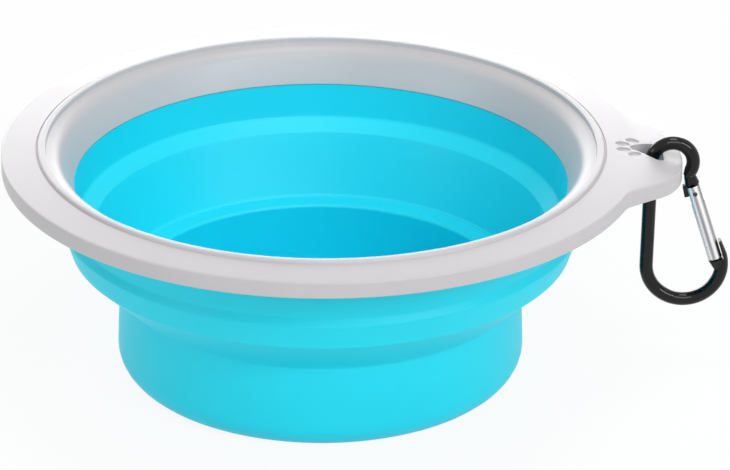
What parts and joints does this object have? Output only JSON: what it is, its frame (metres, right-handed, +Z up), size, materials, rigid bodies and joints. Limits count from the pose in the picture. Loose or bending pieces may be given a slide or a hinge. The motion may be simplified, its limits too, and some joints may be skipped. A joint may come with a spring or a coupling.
{
  "type": "collapsible dog bowl",
  "caption": "Round pet bowl with a hard flanged rim and carrying tab, a soft stepped body that folds up into the rim, and a snap hook hanging in the tab's paw-shaped hole.",
  "frame": {"origin": "middle of the flat underside of the base cup, where the open bowl stands", "axes": "+Z up along the bowl's axis, +X towards the carrying tab and its snap hook, +Y to the left of the tab seen from the bowl"},
  "size_m": [0.2063, 0.18, 0.0705],
  "materials": {
    "rim_plastic": "satin pale grey moulded polypropylene",
    "soft_body": "satin cyan thermoplastic elastomer",
    "black_rod": "glossy black anodised",
    "gate_silver": "bright drawn tube",
    "steel": "plain steel"
  },
  "bodies": {
    "rim": {"rim_ring": "rim_plastic", "body_top_band": "soft_body", "body_upper_fold": "soft_body"},
    "shoulder": {"body_shoulder_ring": "soft_body", "body_lower_fold": "soft_body"},
    "cup": {"base_cup": "soft_body"},
    "carabiner": {"carabiner_frame": "black_rod"},
    "gate": {"gate": "gate_silver", "gate_rivet": "steel", "gate_spring": "steel"},
    "plunger": {"gate_plunger": "steel"}
  },
  "joints": [
    {"name": "upper_fold", "type": "slide", "parent": "rim", "child": "shoulder", "axis": [0, 0, 1], "range_m": [0, 0.013], "deforming": ["body_upper_fold"]},
    {"name": "lower_fold", "type": "slide", "parent": "shoulder", "child": "cup", "axis": [0, 0, 1], "range_m": [0, 0.025], "deforming": ["body_lower_fold"]},
    {"name": "carabiner_swing", "type": "hinge", "parent": "rim", "child": "carabiner", "pos_m": [0.09906, 0, 0.06268], "axis": [0, 1, 0], "range_deg": [-60, 10]},
    {"name": "gate_hinge", "type": "hinge", "parent": "carabiner", "child": "gate", "pos_m": [0.10573, 0, 0.05357], "axis": [0, 1, 0], "range_deg": [0, 25], "stiffness_Nm_per_rad": 0.05, "springref_deg": -45.84},
    {"name": "plunger_slide", "type": "slide", "parent": "gate", "child": "plunger", "axis": [0.309, 0, -0.9511], "range_m": [0, 0.000505], "deforming": ["gate_spring"]}
  ],
  "couplings": [
    {"joint": "plunger_slide", "follows": "gate_hinge", "m_per_rad": 0.0011459}
  ]
}
